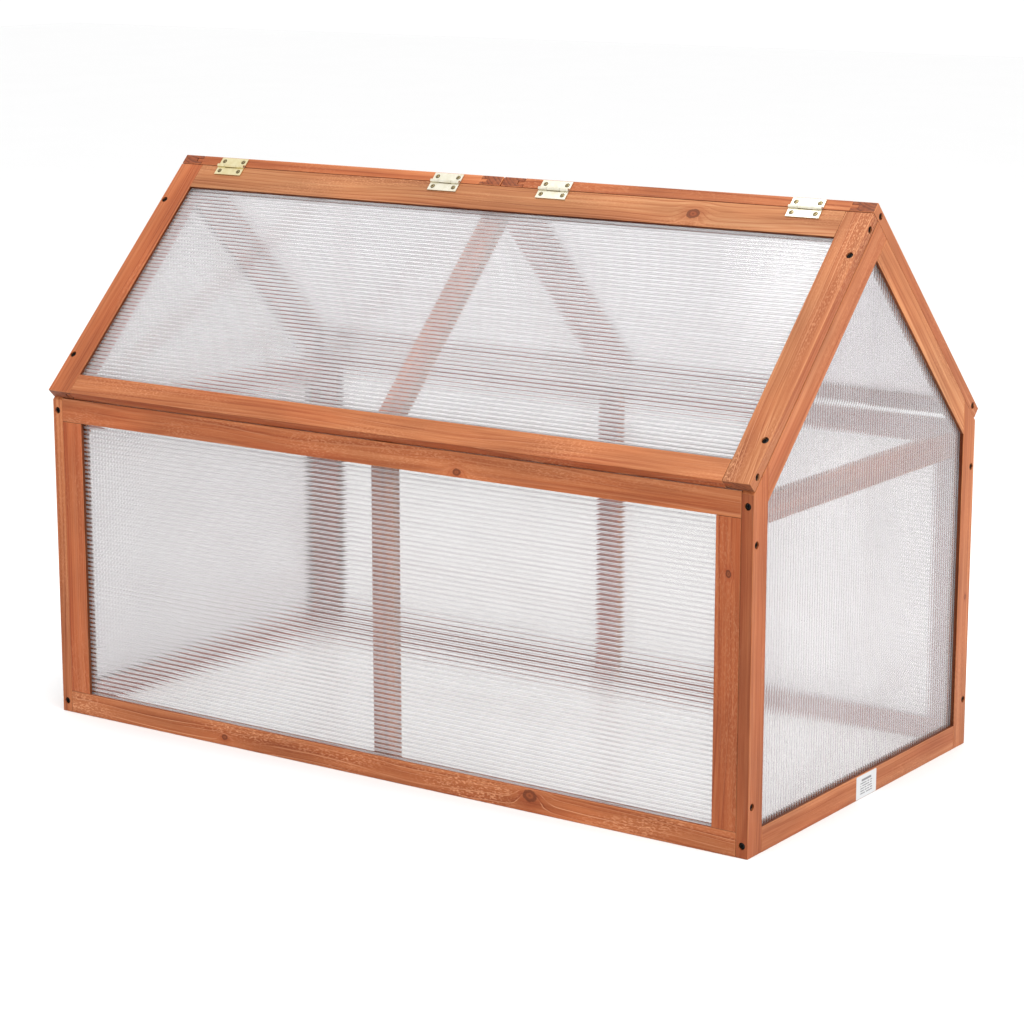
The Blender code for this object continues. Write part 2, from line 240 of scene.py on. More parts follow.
class Graph:
    """Builds shader nodes with their links in one call each."""

    def __init__(self, tree):
        self.tree = tree

    def feed(self, socket, value):
        if isinstance(value, bpy.types.NodeSocket):
            self.tree.links.new(value, socket)
        else:
            socket.default_value = value

    def node(self, kind, inputs=(), **settings):
        made = self.tree.nodes.new(kind)
        for name, value in settings.items():
            setattr(made, name, value)
        for key, value in dict(inputs).items():
            self.feed(made.inputs[key], value)
        return made

    def maths(self, operation, a, b=0.0, clamp=False):
        made = self.node("ShaderNodeMath", {0: a, 1: b}, operation=operation, use_clamp=clamp)
        return made.outputs[0]

    def vector(self, operation, a, b=(0, 0, 0)):
        made = self.node("ShaderNodeVectorMath", {0: a, 1: b}, operation=operation)
        return made.outputs["Value" if operation in ("DOT_PRODUCT", "LENGTH") else "Vector"]

    def scaled(self, vector, factor):
        return self.node("ShaderNodeVectorMath", {0: vector, "Scale": factor}, operation="SCALE").outputs[0]

    def noise(self, place, cells, seed, detail=2.0, roughness=0.5):
        """Noise from 0 to 1 with this many cells to a unit of the place along each of its axes."""
        scaled = self.vector("MULTIPLY", place, cells)
        inputs = {"Vector": scaled, "W": seed, "Scale": 1.0, "Detail": detail, "Roughness": roughness}
        return self.node("ShaderNodeTexNoise", inputs, noise_dimensions="4D").outputs[0]

    def spread(self, value, low, high, to_low=0.0, to_high=1.0, smooth=False):
        inputs = {"Value": value, "From Min": low, "From Max": high, "To Min": to_low, "To Max": to_high}
        kind = "SMOOTHSTEP" if smooth else "LINEAR"
        return self.node("ShaderNodeMapRange", inputs, interpolation_type=kind).outputs[0]

    def mix(self, factor, a, b, blend="MIX"):
        made = self.node("ShaderNodeMix", data_type="RGBA", blend_type=blend)
        for index, value in ((0, factor), (6, a), (7, b)):
            if isinstance(value, tuple) and len(value) == 3:
                value = (*value, 1.0)
            self.feed(made.inputs[index], value)
        return made.outputs[2]

    def ramp(self, factor, stops):
        made = self.node("ShaderNodeValToRGB", {0: factor})
        elements = made.color_ramp.elements
        while len(elements) < len(stops):
            elements.new(0.5)
        for element, (place, colour) in zip(elements, stops):
            element.position = place
            element.color = (*colour, 1.0)
        return made.outputs[0]

    def turned(self, facing):
        """1 where a dot product with the normal says that the face is turned that way, and 0 elsewhere."""
        return self.spread(facing, *FACING)

    def bump(self, height, strength, distance):
        inputs = {"Height": height, "Strength": strength, "Distance": distance}
        return self.node("ShaderNodeBump", inputs).outputs[0]


def new_material(name):
    """A material with only a Principled shader, its graph and the shader."""
    material = bpy.data.materials.new(name)
    material.use_nodes = True
    return material, Graph(material.node_tree), material.node_tree.nodes["Principled BSDF"]


def new_group(name, inputs, outputs):
    tree = bpy.data.node_groups.new(name, "ShaderNodeTree")
    for label, kind in inputs:
        tree.interface.new_socket(label, in_out="INPUT", socket_type=kind)
    for label, kind in outputs:
        tree.interface.new_socket(label, in_out="OUTPUT", socket_type=kind)
    graph = Graph(tree)
    start = graph.node("NodeGroupInput").outputs
    end = graph.node("NodeGroupOutput").inputs
    return tree, graph, start, end


# Stained fir

def knot_field(graph, place, knot):
    """The distance to a knot's axis in knot radii, and how much of the grain it bends."""
    middle = graph.node("ShaderNodeSeparateXYZ", {0: knot}).outputs
    flat = graph.node("ShaderNodeCombineXYZ", {0: middle[0], 1: middle[1]}).outputs[0]
    offset = graph.vector("MULTIPLY", graph.vector("SUBTRACT", place, flat), KNOT_SHAPE)
    ragged = graph.noise(place, (260, 260, 0), 11.0, detail=2.0)
    away = graph.maths("DIVIDE", graph.vector("LENGTH", offset), middle[2])
    away = graph.maths("ADD", away, graph.spread(ragged, 0.3, 0.7, -0.12, 0.12))
    spread = graph.maths("MULTIPLY", graph.maths("MULTIPLY", away, away), -KNOT_FALLOFF)
    return away, graph.maths("POWER", math.e, spread)


def bent_radius(graph, start):
    """The distance from the pith, wandering and bent round the knots, and the distance to each knot."""
    place, seed = start["Vector"], start["Seed"]
    wander = graph.noise(place, (2.6, 12, 12), seed, detail=1.0)
    ripple = graph.noise(place, (11, 60, 60), seed, detail=2.0)
    cross = graph.vector("MULTIPLY", graph.vector("SUBTRACT", place, start["Pith"]), (0, 1, 1))
    radius = graph.vector("LENGTH", cross)
    radius = graph.maths("ADD", radius, graph.maths("MULTIPLY", wander, RING_WANDER))
    radius = graph.maths("ADD", radius, graph.maths("MULTIPLY", ripple, RING_RIPPLE))
    distances = []
    for knot in (start["Knot A"], start["Knot B"]):
        away, bend = knot_field(graph, place, knot)
        size = graph.node("ShaderNodeSeparateXYZ", {0: knot}).outputs[2]
        push = graph.maths("MULTIPLY", bend, graph.maths("MULTIPLY", size, KNOT_BEND))
        radius = graph.maths("ADD", radius, push)
        distances.append(away)
    return radius, distances


def year_rings(graph, start, radius):
    """Where a place is in its year, the late wood's line, and that line as the board shows it."""
    seed = start["Seed"]
    across_rings = graph.node("ShaderNodeCombineXYZ", {0: radius}).outputs[0]
    year = graph.noise(across_rings, RING_CELLS, seed, detail=1.0)
    weight = graph.noise(across_rings, RING_CELLS, graph.maths("ADD", seed, 9.0), detail=1.0)
    turns = graph.maths("DIVIDE", radius, RING_PITCH)
    turns = graph.maths("ADD", turns, graph.maths("MULTIPLY", year, RING_UNEVEN))
    phase = graph.maths("FRACT", turns)
    early, late = (0.0,) * 3, (1.0,) * 3
    line = graph.ramp(phase, [(0.0, early), (0.45, (0.12,) * 3), (0.84, late), (1.0, early)])
    shown = graph.maths("MULTIPLY", line, graph.spread(weight, 0.38, 0.62, 0.15, 1.0, smooth=True))
    return phase, line, graph.maths("MULTIPLY", shown, start["Rings"])


def uneven_stain(graph, start, colour):
    """The stain's redness, then its patches and long clouds."""
    place, seed = start["Vector"], start["Seed"]
    shift = graph.vector("ADD", graph.scaled((-0.02, -0.30, -0.45), start["Redness"]), (1, 1, 1))
    colour = graph.vector("MULTIPLY", colour, shift)
    cloud = graph.noise(place, (7, 30, 30), seed, detail=3.0)
    colour = graph.scaled(colour, graph.spread(cloud, 0.3, 0.7, 0.80, 1.18))
    other = graph.maths("ADD", seed, 3.0)
    blush = graph.noise(place, (4, 26, 26), other, detail=2.0)
    blush = graph.spread(blush, 0.5, 0.72, 0.0, 0.5, smooth=True)
    return graph.mix(blush, colour, graph.vector("MULTIPLY", colour, (0.92, 0.66, 0.58)))


def raised_grain(graph, start, phase, streak):
    """What the planer left proud: flecks in patches, and ridges along the late wood."""
    place, seed, ridges = start["Vector"], start["Seed"], start["Ridges"]
    fleck = graph.noise(place, (300, 950, 950), seed, detail=2.0)
    fleck = graph.spread(fleck, 0.50, 0.62, smooth=True)
    other = graph.maths("ADD", seed, 5.0)
    patch = graph.noise(place, (7, 34, 34), other, detail=1.0)
    patch = graph.spread(patch, 0.46, 0.66, 0.06, 0.8, smooth=True)
    flecks = graph.maths("MULTIPLY", fleck, patch)
    flecks = graph.maths("MULTIPLY", flecks, graph.spread(ridges, 0.0, 1.0, 0.1, 1.0))
    crest = graph.ramp(phase, [(0.80, (0.0,) * 3), (0.93, (1.0,) * 3), (1.0, (0.1,) * 3)])
    crest = graph.maths("MULTIPLY", crest, graph.spread(streak, 0.38, 0.60))
    return graph.maths("MAXIMUM", flecks, graph.maths("MULTIPLY", crest, ridges))


def add_knot(graph, colour, away):
    """A knot on the colour: a heart with its own rings, a dark rim and a redder halo."""
    heart = graph.spread(away, 0.75, 1.05, 1.0, 0.0, smooth=True)
    rings = graph.maths("PINGPONG", graph.maths("MULTIPLY", away, 2.6), 1.0)
    colour = graph.mix(heart, colour, graph.mix(rings, *KNOT_HEART))
    off_rim = graph.maths("ABSOLUTE", graph.maths("SUBTRACT", away, 1.02))
    rim = graph.spread(off_rim, 0.06, 0.26, 0.75, 0.0, smooth=True)
    colour = graph.mix(rim, colour, KNOT_RIM)
    halo = graph.spread(away, 1.1, 3.4, 0.55, 0.0, smooth=True)
    return graph.mix(halo, colour, graph.vector("MULTIPLY", colour, (0.80, 0.58, 0.50)))


def cut_and_worn(graph, start, colour, line):
    """End grain drinks the stain; worn arrises show paler wood."""
    place, seed = start["Vector"], start["Seed"]
    pores = graph.noise(place, (400, 400, 400), seed, detail=2.0)
    depth = graph.spread(graph.maths("ADD", pores, graph.maths("MULTIPLY", line, 0.5)), 0.4, 1.0)
    cut = graph.mix(depth, *END_GRAIN)
    colour = graph.mix(graph.maths("MULTIPLY", start["End Grain"], 0.85), colour, cut)
    worn = graph.noise(place, (60, 200, 200), seed, detail=2.0)
    worn = graph.maths("MULTIPLY", graph.spread(worn, 0.35, 0.65, 0.1, 0.55), start["Arris"])
    return graph.mix(worn, colour, WORN_WOOD)


def make_fir_group():
    """Board places in metres (x along the grain, z through the board) to colour, roughness and normal."""
    tree, graph, start, end = new_group(
        "stained_fir",
        [
            ("Vector", "NodeSocketVector"),
            ("Seed", "NodeSocketFloat"),
            ("Pith", "NodeSocketVector"),
            ("Tone", "NodeSocketFloat"),
            ("Redness", "NodeSocketFloat"),
            ("Rings", "NodeSocketFloat"),
            ("Ridges", "NodeSocketFloat"),
            ("Knot A", "NodeSocketVector"),
            ("Knot B", "NodeSocketVector"),
            ("End Grain", "NodeSocketFloat"),
            ("Arris", "NodeSocketFloat"),
        ],
        [("Color", "NodeSocketColor"), ("Roughness", "NodeSocketFloat"), ("Normal", "NodeSocketVector")],
    )
    place, seed = start["Vector"], start["Seed"]
    radius, knot_distances = bent_radius(graph, start)
    phase, line, late = year_rings(graph, start, radius)

    band = graph.noise(place, (2.2, 70, 70), seed, detail=2.0)
    streak = graph.noise(place, (4, 330, 330), seed, detail=3.0, roughness=0.6)
    fibre = graph.noise(place, (25, 1100, 1100), seed, detail=2.0)
    grain = graph.maths("MULTIPLY", late, 0.55)
    for layer, share in ((band, 0.34), (streak, 0.24), (fibre, 0.16)):
        layer = graph.spread(layer, 0.3, 0.7)
        grain = graph.maths("ADD", grain, graph.maths("MULTIPLY", layer, share))

    colour = uneven_stain(graph, start, graph.ramp(grain, FIR_RAMP))
    raised = raised_grain(graph, start, phase, streak)
    colour = graph.mix(raised, colour, RAISED_GRAIN)
    for away in knot_distances:
        colour = add_knot(graph, colour, away)
    colour = cut_and_worn(graph, start, colour, line)
    graph.feed(end["Color"], graph.scaled(colour, start["Tone"]))

    roughness = graph.spread(graph.maths("ADD", grain, raised), 0.2, 1.3, 0.44, 0.72)
    graph.feed(end["Roughness"], roughness)
    height = graph.maths("MULTIPLY", fibre, 0.5)
    height = graph.maths("ADD", height, graph.maths("MULTIPLY", raised, 0.8))
    height = graph.maths("ADD", height, graph.maths("MULTIPLY", late, 0.9))
    graph.feed(end["Normal"], graph.bump(height, 0.45, 0.0003))
    return tree


def span(points, axis):
    """How far points reach along a direction, as (low, high)."""
    reaches = [point.dot(axis) for point in points]
    return min(reaches), max(reaches)


def board_frame(obj):
    """The board's long, wide and thin directions and its centre, from the smaller of two boxes round it."""
    points = [v.co for v in obj.data.vertices]
    best = None
    for turn in (0.0, SLOPE):
        rotation = Matrix.Rotation(turn, 3, "X")
        axes = [rotation @ axis for axis in (X, Y, Z)]
        spans = [span(points, axis) for axis in axes]
        sizes = [high - low for low, high in spans]
        volume = math.prod(sizes)
        if best is None or volume < CLEARLY_LESS * best[0]:
            best = (volume, axes, spans, sizes)
    _, axes, spans, sizes = best
    centre = sum((a * (low + high) / 2 for a, (low, high) in zip(axes, spans)), Vector())
    order = sorted(range(3), key=lambda i: -sizes[i])
    along, across = (axes[i] if sum(axes[i]) > 0 else -axes[i] for i in order[:2])
    return along, across, along.cross(across), centre


def groove_side(name, across, centre):
    """1 or -1 where a frame member's pane lies on that side of it, or 0 for a bar."""
    if name.endswith("_bar"):
        return 0.0
    panes = [node for node in nodes if node.endswith("_pane")]
    pane = next(node for node in panes if name.startswith(node[: -len("pane")]))
    low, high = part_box(pane)
    return math.copysign(1.0, ((low + high) / 2 - centre).dot(across))


def indoor_side(through, centre):
    """1 or -1 for the face of a board that is turned to the inside of the frame."""
    low, high = cad_bounds
    middle = (Vector(low) + Vector(high)) / 2
    return math.copysign(1.0, (middle - centre).dot(through))


def stain_and_shade_by_side(graph, stain, facing, inward):
    """The tone and redness of a board's face, its narrow outer side and its grooved side, with painted shade
    on the grooved side and partly on the narrow outer side.
    """
    # Painted shade: the grooved side is darker and redder
    on_inner = graph.turned(graph.maths("MULTIPLY", facing, inward))
    on_outer = graph.maths("SUBTRACT", graph.turned(graph.maths("ABSOLUTE", facing)), on_inner)
    # The narrow outer side is darker: partly stain, partly painted shade
    tone = graph.spread(on_outer, 0, 1, stain["tone"], stain["tone"] * stain["side_stain_and_shade"])
    tone = graph.maths("MULTIPLY", tone, graph.spread(on_inner, 0, 1, 1.0, stain["groove_shade_tone"]))
    redness = graph.spread(on_outer, 0, 1, stain["redness"], stain["side_redness"])
    return tone, graph.spread(on_inner, 0, 1, redness, 1.0)


def fir_material(name, along, across, through, centre, knots, chance):
    material, graph, shader = new_material(f"fir_{name}")
    turn = Matrix((along, across, through))
    seed = chance.uniform(0, 40)
    tilt = chance.uniform(0.25, 1.35)
    drawn = {
        "tone": chance.uniform(0.92, 1.06),
        "redness": chance.uniform(-0.2, 0.5),
        "rings": chance.uniform(0.3, 0.6),
    }
    stain = {**PLAIN_STAIN_AND_SHADE, **STAINS_AND_SHADES.get(name, drawn)}
    where = graph.node("ShaderNodeTexCoord").outputs
    mapped = graph.node(
        "ShaderNodeMapping",
        {"Vector": where["Object"], "Location": -(turn @ centre), "Rotation": turn.to_euler("XYZ")},
    ).outputs[0]
    along_normal = graph.vector("DOT_PRODUCT", where["Normal"], tuple(along))
    across_normal = graph.vector("DOT_PRODUCT", where["Normal"], tuple(across))
    inside = tuple(through * indoor_side(through, centre))
    # The faces turned to the inside of the frame, which get the painted shade tint
    indoor_shade_mask = graph.turned(graph.vector("DOT_PRODUCT", where["Normal"], inside))
    tone, redness = stain_and_shade_by_side(graph, stain, across_normal, groove_side(name, across, centre))
    first, second = (list(knots) + [NO_KNOT, NO_KNOT])[:2]
    fir = graph.node("ShaderNodeGroup", node_tree=fir_group)
    values = {
        "Vector": mapped,
        "Seed": seed,
        "Pith": (0.0, PITH_DISTANCE * math.cos(tilt), -PITH_DISTANCE * math.sin(tilt)),
        "Tone": tone,
        "Redness": redness,
        "Rings": stain["rings"],
        "Ridges": stain["ridges"],
        "Knot A": first,
        "Knot B": second,
        "End Grain": graph.turned(graph.maths("ABSOLUTE", along_normal)),
        "Arris": graph.node(
            "ShaderNodeAttribute", attribute_name="arris", attribute_type="GEOMETRY"
        ).outputs["Fac"],
    }
    for key, value in values.items():
        graph.feed(fir.inputs[key], value)
    # Painted shade: the inside faces are tinted cooler and darker
    painted_indoor_shade = graph.vector("MULTIPLY", fir.outputs["Color"], INDOOR_SHADE_TINT)
    graph.feed(shader.inputs["Base Color"], graph.mix(indoor_shade_mask, fir.outputs["Color"], painted_indoor_shade))
    graph.feed(shader.inputs["Roughness"], fir.outputs["Roughness"])
    graph.feed(shader.inputs["Normal"], fir.outputs["Normal"])
    shader.inputs["Specular IOR Level"].default_value = 0.2
    return material


def build_object(name, shape):
    """A linked object that holds a shape."""
    mesh = bpy.data.meshes.new(name)
    shape.to_mesh(mesh)
    shape.free()
    obj = bpy.data.objects.new(name, mesh)
    scene.collection.objects.link(obj)
    return obj


def link_mesh(name, shape, material, body):
    """An object of one material that rides on a body."""
    obj = build_object(name, shape)
    obj.data.materials.append(material)
    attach(obj, body)
    return obj


def shape_of(node):
    """The node's mesh as one closed shape whose flat faces are whole."""
    shape = bmesh.new()
    shape.from_mesh(nodes[node].data)
    bmesh.ops.remove_doubles(shape, verts=shape.verts, dist=CLOSE)
    bmesh.ops.dissolve_limit(shape, angle_limit=FLAT_ANGLE, verts=shape.verts, edges=shape.edges)
    return shape


def ease_arrises(shape, width, shortest):
    """Rounds the long right-angled edges and marks the new faces for the material."""
    sharp = [
        edge
        for edge in shape.edges
        if len(edge.link_faces) == 2
        and edge.calc_length() > shortest
        and edge.calc_face_angle_signed(0.0) > ARRIS_ANGLE
    ]
    layer = shape.faces.layers.float.new("arris")
    made = bmesh.ops.bevel(
        shape, geom=sharp, offset=width, segments=2, profile=0.5, affect="EDGES", clamp_overlap=True
    )
    for face in made["faces"]:
        face[layer] = 1.0
        face.smooth = True


def finish_boards():
    chance = random.Random(GRAIN_SEED)
    for name in sorted(nodes):
        if slots[name] != "wood":
            continue
        along, across, through, centre = board_frame(nodes[name])
        material = fir_material(name, along, across, through, centre, KNOTS.get(name, ()), chance)
        shape = shape_of(name)
        ease_arrises(shape, ARRIS, ARRIS_LENGTH)
        board = link_mesh(f"{name}_board", shape, material, bodies_of[name])
        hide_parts(name)


# Twin-wall sheet

def sheet_material(name, dark, light, coarse, clear, bend=SHEET_IOR, seam=0.0, ribs=None):
    """Twin-wall plastic between two pale tints, up to this rough, and this clear.

    The ribs give the direction across them, where the first one stands and their pitch; over each rib the
    skin is darkened by the given share, a painted shade line.
    """
    material, graph, shader = new_material(name)
    where = graph.node("ShaderNodeTexCoord").outputs["Object"]
    cloud = graph.noise(where, (14, 14, 14), 1.0, detail=3.0)
    tint = graph.mix(cloud, dark, light)
    # Painted shade: a dark line along each rib, where the ribs darken the view through the skin
    if seam:
        across, first, pitch = ribs
        place = graph.maths("SUBTRACT", graph.vector("DOT_PRODUCT", where, tuple(across)), first)
        turns = graph.maths("ADD", graph.maths("DIVIDE", place, pitch), 0.5)
        off_rib = graph.maths("ABSOLUTE", graph.maths("SUBTRACT", graph.maths("FRACT", turns), 0.5))
        line = graph.spread(off_rib, 0.05, 0.11, seam, 0.0)
        tint = graph.mix(line, tint, RIB_SHADE_COLOUR)
    graph.feed(shader.inputs["Base Color"], tint)
    scratch = graph.noise(where, (300, 300, 300), 2.0, detail=2.0)
    graph.feed(shader.inputs["Roughness"], graph.spread(scratch, 0.3, 0.7, 0.0, coarse))
    shader.inputs["Transmission Weight"].default_value = clear
    shader.inputs["IOR"].default_value = bend
    # Lamps and the sky light what is inside through the sheet.
    path = graph.node("ShaderNodeLightPath").outputs
    passing = graph.maths("MAXIMUM", path["Is Shadow Ray"], path["Is Diffuse Ray"])
    open_way = graph.node("ShaderNodeBsdfTransparent", {"Color": LIGHT_PASSED})
    both = graph.node("ShaderNodeMixShader", {0: passing, 1: shader.outputs[0], 2: open_way.outputs[0]})
    output = next(node for node in graph.tree.nodes if node.type == "OUTPUT_MATERIAL")
    graph.feed(output.inputs["Surface"], both.outputs[0])
    return material


def flute_layout(low, high):
    """Where the first rib stands, the pitch and the number of flutes.

    A rib stands at each edge of the opening, and one more flute beyond it reaches into the groove.
    """
    opening = high - low - 2 * PANE_LAP
    count = round(opening / FLUTE_PITCH)
    pitch = opening / count
    return low + PANE_LAP - pitch, pitch, count + 2


def crowned_edge(low, high, face, sign):
    """Points across one sheet face: each flute's skin stands a little proud between the ribs."""
    start, pitch, count = flute_layout(low, high)
    points = [(low, face - sign * CROWN)]
    for step in range(count * CROWN_STEPS + 1):
        share = step % CROWN_STEPS / CROWN_STEPS
        rise = CROWN * (4 * share * (1 - share) - 1)
        points.append((start + step * pitch / CROWN_STEPS, face + sign * rise))
    return [*points, (high, face - sign * CROWN)]


def flute_hollows(low, high, back, face):
    """The outline of each flute's hollow across the sheet: a box with cut corners between ribs and skins."""
    start, pitch, count = flute_layout(low, high)
    middle = (back + face) / 2
    half_height = (face - back) / 2 - SKIN
    half_width = (pitch - RIB) / 2
    corners = ((1, 1), (-1, 1), (-1, -1), (1, -1))
    hollows = []
    for index in range(count):
        centre = start + (index + 0.5) * pitch
        outline = []
        for turn, (side, rise) in enumerate(corners):
            for step in range(FILLET_STEPS + 1):
                angle = math.pi / 2 * (turn + step / FILLET_STEPS)
                across = side * (half_width - FILLET) + FILLET * math.cos(angle)
                up = rise * (half_height - FILLET) + FILLET * math.sin(angle)
                outline.append((centre + across, middle + up))
        hollows.append(outline)
    return hollows


def outline_planes(points, flute, across):
    """The sides of a pane's outline in its own plane, each as (point, outward normal)."""
    flat = sorted({(round(p.dot(flute), 5), round(p.dot(across), 5)) for p in points})

    def half_hull(ordered):
        hull = []
        for p in ordered:
            while len(hull) > 1:
                (ax, ay), (bx, by) = hull[-2], hull[-1]
                if (bx - ax) * (p[1] - ay) - (by - ay) * (p[0] - ax) > 0:
                    break
                hull.pop()
            hull.append(p)
        return hull[:-1]

    hull = half_hull(flat) + half_hull(flat[::-1])
    planes = []
    for (ax, ay), (bx, by) in zip(hull, hull[1:] + hull[:1]):
        normal = Vector((by - ay, ax - bx)).normalized()
        planes.append((flute * ax + across * ay, flute * normal.x + across * normal.y, normal))
    return planes


def cut_to_outline(shape, planes):
    """Cuts the sheet at its slanted sides, then closes the skins' ends and leaves the flutes open."""
    for point, outward, normal in planes:
        if min(abs(normal.x), abs(normal.y)) < SLIGHT:
            continue
        everything = shape.verts[:] + shape.edges[:] + shape.faces[:]
        bmesh.ops.bisect_plane(
            shape, geom=everything, plane_co=point, plane_no=outward, clear_outer=True
        )
    for point, outward, _ in planes:
        rims = [
            edge
            for edge in shape.edges
            if len(edge.link_faces) == 1 and all(abs((v.co - point).dot(outward)) < CLOSE for v in edge.verts)
        ]
        if rims:
            bmesh.ops.triangle_fill(shape, edges=rims, use_beauty=True)


def make_sheet(node, flute, through, skin, rib, fillet):
    """A sheet in the place of a CAD pane, with its flutes along one direction and open at the sheet's ends.

    The skin is given as its material's settings; the ribs and the fillets where they meet it as materials.
    """
    across = through.cross(flute)
    points = [v.co for v in nodes[node].data.vertices]
    (start, stop), (low, high), (back, face) = (span(points, axis) for axis in (flute, across, through))
    first_rib, pitch, _ = flute_layout(low, high)
    skin_material = sheet_material(f"{node}_skin", **skin, ribs=(across, first_rib, pitch))
    outside = crowned_edge(low, high, face, 1) + crowned_edge(low, high, back, -1)[::-1]
    shape = bmesh.new()
    for outline in [outside, *flute_hollows(low, high, back, face)]:
        near, far = (
            [shape.verts.new(flute * end + across * a + through * t) for a, t in outline]
            for end in (start, stop)
        )
        for index in range(len(outline)):
            following = (index + 1) % len(outline)
            side = shape.faces.new((near[index], near[following], far[following], far[index]))
            side.smooth = True
            run = (near[following].co - near[index].co).normalized()
            rise = 0.0 if outline is outside else abs(run.dot(through))
            side.material_index = 0 if rise < SLIGHT else 1 if rise > FULL else 2
    cut_to_outline(shape, outline_planes(points, flute, across))
    bmesh.ops.recalc_face_normals(shape, faces=shape.faces)
    sheet = link_mesh(f"{node}_sheet", shape, skin_material, bodies_of[node])
    sheet.data.materials.append(rib)
    sheet.data.materials.append(fillet)
    sheet.data.set_sharp_from_angle(angle=SHEET_SHARP)
    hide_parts(node)


def finish_panes():
    clear = {"dark": (0.920, 0.917, 0.914), "light": (0.942, 0.939, 0.936), "coarse": 0.01, "clear": 0.990}
    milky = {"dark": (0.968, 0.964, 0.966), "light": (0.986, 0.982, 0.984), "coarse": 0.01, "clear": 0.985}
    grey_rib = sheet_material("twin_wall_grey_rib", (0.64, 0.63, 0.65), (0.73, 0.72, 0.74), 0.15, 0.52)
    white_rib = sheet_material("twin_wall_white_rib", (0.90, 0.89, 0.91), (0.96, 0.95, 0.97), 0.15, 0.50)
    pale_rib = sheet_material("twin_wall_pale_rib", (0.82, 0.80, 0.82), (0.90, 0.88, 0.90), 0.15, 0.50)
    clear_rib = sheet_material(
        "twin_wall_clear_rib", (0.84, 0.82, 0.83), (0.90, 0.88, 0.89), 0.02, 0.97, CLEAR_RIB_IOR
    )
    wall = (clear, grey_rib, pale_rib)
    end = ({**clear, "seam": 0.5}, clear_rib, pale_rib)
    roof = ({**milky, "seam": 0.4}, white_rib, white_rib)
    front_slope = Vector((0, -math.sin(SLOPE), math.cos(SLOPE)))
    rear_slope = Vector((0, math.sin(SLOPE), math.cos(SLOPE)))
    layouts = {
        "front_wall_pane": (X, -Y, *wall),
        "rear_wall_pane": (X, Y, *wall),
        "left_end_pane": (Z, -X, *end),
        "right_end_pane": (Z, X, *end),
        "front_roof_pane": (X, front_slope, *roof),
        "left_lid_pane": (X, rear_slope, *roof),
        "right_lid_pane": (X, rear_slope, *roof),
    }
    for node, layout in layouts.items():
        make_sheet(node, *layout)


# Hinges

def metal_material(name, colour, dark, roughness, rim=None):
    """Brushed metal, tarnished from one colour to the other, and darker in a ring near the rim's radius about
    Z.
    """
    material, graph, shader = new_material(name)
    where = graph.node("ShaderNodeTexCoord").outputs["Object"]
    brushed = graph.noise(where, (300, 2500, 2500), 3.0, detail=2.0)
    tarnish = graph.noise(where, (120, 120, 120), 4.0, detail=3.0)
    finish = graph.mix(graph.spread(tarnish, 0.35, 0.75), colour, dark)
    if rim:
        away = graph.vector("LENGTH", graph.vector("MULTIPLY", where, (1, 1, 0)))
        finish = graph.mix(graph.spread(away, *(share * rim for share in DARK_RING_BAND)), finish, DARK_RING_COLOUR)
    graph.feed(shader.inputs["Base Color"], finish)
    sheen = graph.spread(brushed, 0.3, 0.7, roughness - 0.06, roughness + 0.08)
    graph.feed(shader.inputs["Roughness"], sheen)
    graph.feed(shader.inputs["Normal"], graph.bump(brushed, 0.12, 0.0001))
    shader.inputs["Metallic"].default_value = 1.0
    return material


def finish_hinges():
    for name in sorted(nodes):
        if slots[name] == "brass":
            nodes[name].data.materials.clear()
            # The first hinge gets the darker, yellower copy of the same brass and the others get the paler
            # one: painted shade and painted reflection
            nodes[name].data.materials.append(shaded_yellow_brass if name.startswith("hinge_1") else brass)
        if slots[name] == "steel_pin":
            nodes[name].data.materials.clear()
            nodes[name].data.materials.append(steel)


# Screws

def lathe(shape, profile, segments):
    """A turned shape about Z from (radius, height) points that start and end on the axis."""
    rings = []
    for radius, height in profile:
        if radius == 0:
            rings.append([shape.verts.new((0, 0, height))])
            continue
        turn = [math.tau * i / segments for i in range(segments)]
        rings.append([shape.verts.new((radius * math.cos(t), radius * math.sin(t), height)) for t in turn])
    for low, high in zip(rings, rings[1:]):
        for i in range(segments):
            j = (i + 1) % segments
            corners = [low[i % len(low)], low[j % len(low)], high[j % len(high)], high[i % len(high)]]
            unique = list(dict.fromkeys(corners))
            shape.faces.new(unique)
    bmesh.ops.recalc_face_normals(shape, faces=shape.faces)


def screw_mesh(name, radius, dome, length, material):
    """A screw head with a cross recess, its top at z = dome and its neck below; Z points out of the hole."""
    turns = [math.pi / 2 * step / DOME_STEPS for step in range(DOME_STEPS + 1)]
    top = [(radius * math.sin(turn), dome * math.cos(turn)) for turn in turns]
    top[0] = (0, dome)
    under = [(radius * share, -radius * drop) for share, drop in HEAD_UNDERSIDE]
    neck = under[-1][0]
    shape = bmesh.new()
    lathe(shape, [*top, *under, (neck, -length), (0, -length)], SCREW_SEGMENTS)
    head = build_object(name, shape)

    wing, half, depth = (radius * share for share in CROSS_SHARES)
    cross = bmesh.new()
    for long_side, short_side in ((wing, half), (half, wing)):
        scale = Matrix.Diagonal((2 * long_side, 2 * short_side, 2 * depth, 1))
        bmesh.ops.create_cube(cross, size=1.0, matrix=Matrix.Translation((0, 0, dome)) @ scale)
    cutter = build_object(f"{name}_cross", cross)
    modifier = head.modifiers.new("cross", "BOOLEAN")
    modifier.object = cutter
    modifier.solver = "EXACT"
    modifier.use_self = True
    depsgraph = bpy.context.evaluated_depsgraph_get()
    finished = bpy.data.meshes.new_from_object(head.evaluated_get(depsgraph))
    finished.name = name
    finished.materials.clear()
    finished.materials.append(material)
    finished.shade_smooth()
    finished.set_sharp_from_angle(angle=SMOOTH_ANGLE)
    for obj in (head, cutter):
        bpy.data.objects.remove(obj)
    return finished


